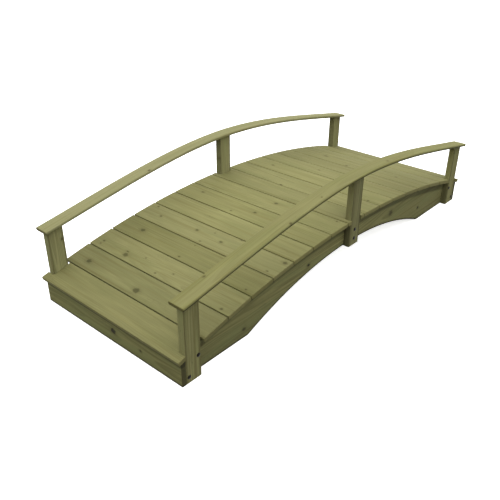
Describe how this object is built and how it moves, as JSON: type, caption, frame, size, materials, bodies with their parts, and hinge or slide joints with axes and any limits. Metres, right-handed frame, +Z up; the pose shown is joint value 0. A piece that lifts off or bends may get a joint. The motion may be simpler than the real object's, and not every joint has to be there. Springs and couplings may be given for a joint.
{
  "type": "garden bridge",
  "caption": "Low arched timber footbridge with cross boards on two arched beams, posts on both sides and sprung handrails, for crossing a pond or stream in a garden.",
  "frame": {"origin": "on the ground, under the middle of the bridge", "axes": "+X along the bridge towards its back end, +Y towards its left side, +Z up"},
  "size_m": [2.4384, 0.975, 0.5451],
  "materials": {
    "deck_pine": "planed pressure-treated softwood, green-grey, matt",
    "rail_pine": "planed pressure-treated softwood, light yellow-green, matt",
    "post_pine": "planed pressure-treated softwood, olive, matt",
    "frame_pine": "sawn pressure-treated softwood, dark olive, matt",
    "fixing_steel": "dull zinc-plated coach bolts and screws"
  },
  "bodies": {
    "root": {"back_end_board": "frame_pine", "deck_board_01": "deck_pine", "deck_board_02": "deck_pine", "deck_board_03": "deck_pine", "deck_board_04": "deck_pine", "deck_board_05": "deck_pine", "deck_board_06": "deck_pine", "deck_board_07": "deck_pine", "deck_board_08": "deck_pine", "deck_board_09": "deck_pine", "deck_board_10": "deck_pine", "deck_board_11": "deck_pine", "deck_board_12": "deck_pine", "deck_board_13": "deck_pine", "deck_board_14": "deck_pine", "deck_board_15": "deck_pine", "deck_board_16": "deck_pine", "deck_board_17": "deck_pine", "front_end_board": "frame_pine", "left_back_post": "post_pine", "left_beam": "frame_pine", "left_front_post": "post_pine", "left_handrail": "rail_pine", "left_middle_post": "post_pine", "right_back_post": "post_pine", "right_beam": "frame_pine", "right_front_post": "post_pine", "right_handrail": "rail_pine", "right_middle_post": "post_pine"}
  },
  "joints": []
}
